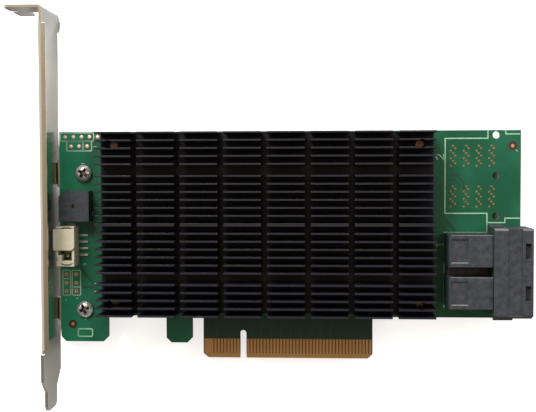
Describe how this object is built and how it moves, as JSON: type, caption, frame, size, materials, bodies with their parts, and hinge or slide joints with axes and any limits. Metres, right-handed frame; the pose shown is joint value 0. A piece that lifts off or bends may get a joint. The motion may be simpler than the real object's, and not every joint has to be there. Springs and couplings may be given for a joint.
{
  "type": "raid controller card",
  "caption": "Low-cost storage controller card with full-height bracket, cross-cut finned heat sink, buzzer, small header and paired right-angle drive sockets.",
  "frame": {"origin": "centre line of the key notch at the lower edge of the edge connector, at half the board's thickness", "axes": "+X from the bracket to the drive sockets, +Y away from the slot towards the screw tab, +Z out of the component side"},
  "size_m": [0.1531, 0.12, 0.0211],
  "materials": {
    "board_laminate": "green solder mask over glass-fibre laminate",
    "gold_contacts": "gold plate",
    "bracket_steel": "nickel plate, satin",
    "screw_steel": "bright plate",
    "brass_screws": "brass",
    "black_anodised": "black anodised",
    "thermal_pad": "soft silicone pad",
    "chip_moulding": "moulded package",
    "chip_lid": "nickel-plated lid",
    "tinned_leads": "tin plate",
    "inductor_core": "pressed iron powder",
    "capacitor_body": "sintered ceramic with tinned ends",
    "buzzer_moulding": "moulded",
    "header_moulding": "moulded",
    "socket_moulding": "moulded, glass filled"
  },
  "bodies": {
    "root": {"circuit_board": "board_laminate", "edge_contacts_front": "gold_contacts", "edge_contacts_back": "gold_contacts", "bracket": "bracket_steel", "bracket_screws": "screw_steel", "heat_sink": "black_anodised", "heat_sink_screws": "brass_screws", "controller_package": "chip_moulding", "controller_lid": "chip_lid", "thermal_pad": "thermal_pad", "memory_chip": "chip_moulding", "memory_leads": "tinned_leads", "clock_crystal": "tinned_leads", "power_inductors": "inductor_core", "voltage_regulators": "chip_moulding", "ceramic_capacitors": "capacitor_body", "buzzer_case": "buzzer_moulding", "buzzer_base": "buzzer_moulding", "buzzer_coil": "inductor_core", "buzzer_diaphragm": "tinned_leads", "buzzer_terminals": "tinned_leads", "header_housing": "header_moulding", "header_pins": "tinned_leads", "header_anchors": "tinned_leads", "header_cap": "header_moulding", "socket_frame": "socket_moulding", "contact_block_upper": "socket_moulding", "contact_block_lower": "socket_moulding", "socket_contacts": "gold_contacts"}
  },
  "joints": []
}
